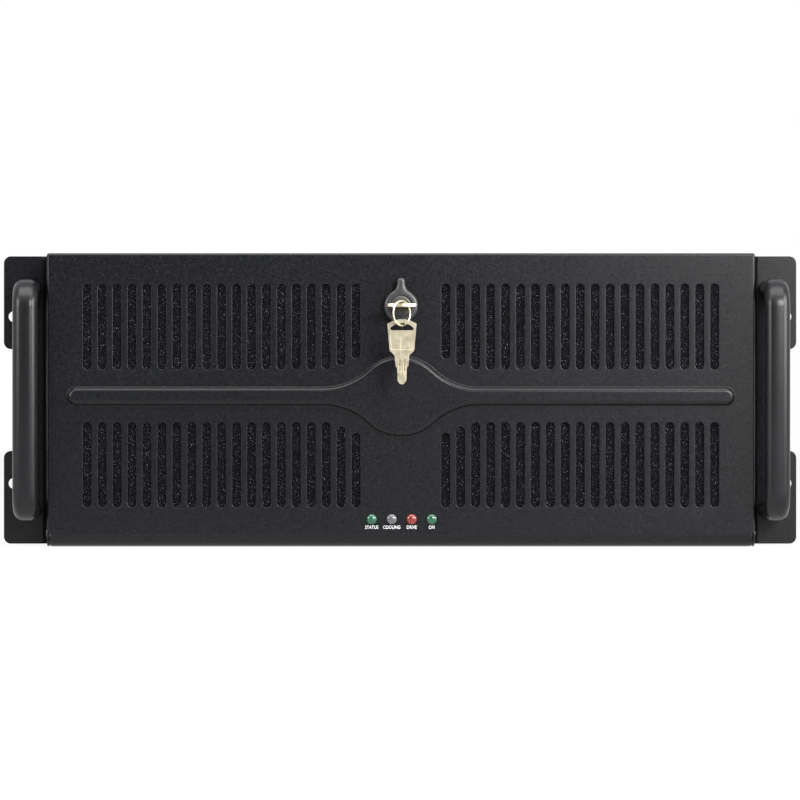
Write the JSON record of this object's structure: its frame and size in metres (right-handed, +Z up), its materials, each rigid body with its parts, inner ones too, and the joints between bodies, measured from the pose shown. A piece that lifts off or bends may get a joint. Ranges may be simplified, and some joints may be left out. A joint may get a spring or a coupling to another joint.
{
  "type": "rackmount server case",
  "caption": "Black rackmount server case with a bottom-hinged slotted filter door, key lock, lamps, rack ears, handles, drive bays and fans.",
  "frame": {"origin": "centre of the four rack slots, on the plane where the ears meet the rack posts", "axes": "+X to the right of someone facing the door, +Y back into the rack, +Z up"},
  "size_m": [0.4826, 0.5189, 0.177],
  "materials": {
    "zinc_sheet": "zinc-plated sheet steel with a faint spangle",
    "steel_plain": "plain zinc-plated steel",
    "black_coat": "fine textured black powder coat",
    "handle_coat": "smooth satin black coat",
    "black_foam": "open-cell black filter foam",
    "green_lens": "green tinted lamp lens",
    "clear_lens": "clear lamp lens",
    "red_lens": "red tinted lamp lens",
    "circuit_board": "green circuit board",
    "gloss_black": "glossy black",
    "nickel": "warm nickel plate",
    "black_plastic": "fine matt black plastic",
    "brass_pillar": "turned brass"
  },
  "bodies": {
    "body": {"base_tray": "zinc_sheet", "front_plate": "zinc_sheet", "rear_plate": "zinc_sheet", "rack_ear_right": "black_coat", "rack_ear_left": "black_coat", "handle_right": "handle_coat", "handle_left": "handle_coat", "hinge_bracket_right": "steel_plain", "hinge_bracket_left": "steel_plain", "handle_bolts": "steel_plain", "latch_keeper": "zinc_sheet", "drive_cage_wide": "zinc_sheet", "drive_cage_small": "zinc_sheet", "bay_cover_1": "black_plastic", "bay_cover_2": "black_plastic", "bay_cover_3": "black_plastic", "bay_cover_small": "black_plastic", "switch_board": "circuit_board", "socket_block": "steel_plain", "front_fan_frame": "black_plastic", "rear_fan_1_frame": "black_plastic", "rear_fan_2_frame": "black_plastic", "card_rail": "zinc_sheet", "hold_down_bar": "zinc_sheet", "board_stand_offs": "brass_pillar", "card_cover_1": "zinc_sheet", "card_cover_2": "zinc_sheet", "card_cover_3": "zinc_sheet", "card_cover_4": "zinc_sheet", "card_cover_5": "zinc_sheet", "card_cover_6": "zinc_sheet", "card_cover_7": "zinc_sheet"},
    "door": {"door_panel": "black_coat", "filter_foam_left": "black_foam", "filter_foam_right": "black_foam", "filter_frame_left": "zinc_sheet", "filter_frame_right": "zinc_sheet", "status_lamp": "green_lens", "cooling_lamp": "clear_lens", "drive_lamp": "red_lens", "power_lamp": "green_lens", "lamp_board": "circuit_board", "lock_housing": "steel_plain", "lock_nut": "steel_plain"},
    "knob": {"latch_knob": "gloss_black", "latch_cam": "steel_plain", "cam_screw": "steel_plain"},
    "plug": {"lock_plug": "nickel"},
    "key": {"door_key": "nickel"},
    "ring": {"key_ring": "nickel"},
    "hanging_key": {"spare_key": "nickel"},
    "cover": {"top_cover": "zinc_sheet", "thumbscrews": "steel_plain"},
    "power_push": {"power_button": "black_plastic"},
    "reset_push": {"reset_button": "black_plastic"},
    "front_rotor": {"front_fan_rotor": "black_plastic"},
    "rear_rotor_1": {"rear_fan_1_rotor": "black_plastic"},
    "rear_rotor_2": {"rear_fan_2_rotor": "black_plastic"}
  },
  "joints": [
    {"name": "door_swing", "type": "hinge", "parent": "body", "child": "door", "pos_m": [0, -0.018, -0.0805], "axis": [1, 0, 0], "range_deg": [0, 90]},
    {"name": "knob_turn", "type": "hinge", "parent": "door", "child": "knob", "pos_m": [0, -0.026, 0.0564], "axis": [0, 1, 0], "range_deg": [0, 90]},
    {"name": "plug_turn", "type": "hinge", "parent": "knob", "child": "plug", "pos_m": [0, -0.0344, 0.0564], "axis": [0, 1, 0], "range_deg": [0, 90]},
    {"name": "key_pull", "type": "slide", "parent": "plug", "child": "key", "axis": [0, -1, 0], "range_m": [0, 0.02]},
    {"name": "ring_swing", "type": "hinge", "parent": "key", "child": "ring", "pos_m": [0, -0.0559, 0.0564], "axis": [1, 0, 0], "range_deg": [-60, 5]},
    {"name": "spare_key_swing", "type": "hinge", "parent": "ring", "child": "hanging_key", "pos_m": [0, -0.0559, 0.0442], "axis": [1, 0, 0], "range_deg": [-16, 16]},
    {"name": "cover_slide", "type": "slide", "parent": "body", "child": "cover", "axis": [0, 1, 0], "range_m": [0, 0.45]},
    {"name": "power_push", "type": "slide", "parent": "body", "child": "power_push", "axis": [0, 1, 0], "range_m": [0, 0.0025], "stiffness_N_per_m": 400},
    {"name": "reset_push", "type": "slide", "parent": "body", "child": "reset_push", "axis": [0, 1, 0], "range_m": [0, 0.0025], "stiffness_N_per_m": 400},
    {"name": "front_fan_spin", "type": "hinge", "parent": "body", "child": "front_rotor", "pos_m": [-0.13, 0.0117, 0], "axis": [0, 1, 0], "continuous": true},
    {"name": "rear_fan_1_spin", "type": "hinge", "parent": "body", "child": "rear_rotor_1", "pos_m": [-0.009, 0.4343, 0.026], "axis": [0, 1, 0], "continuous": true},
    {"name": "rear_fan_2_spin", "type": "hinge", "parent": "body", "child": "rear_rotor_2", "pos_m": [0.074, 0.4343, 0.026], "axis": [0, 1, 0], "continuous": true}
  ]
}
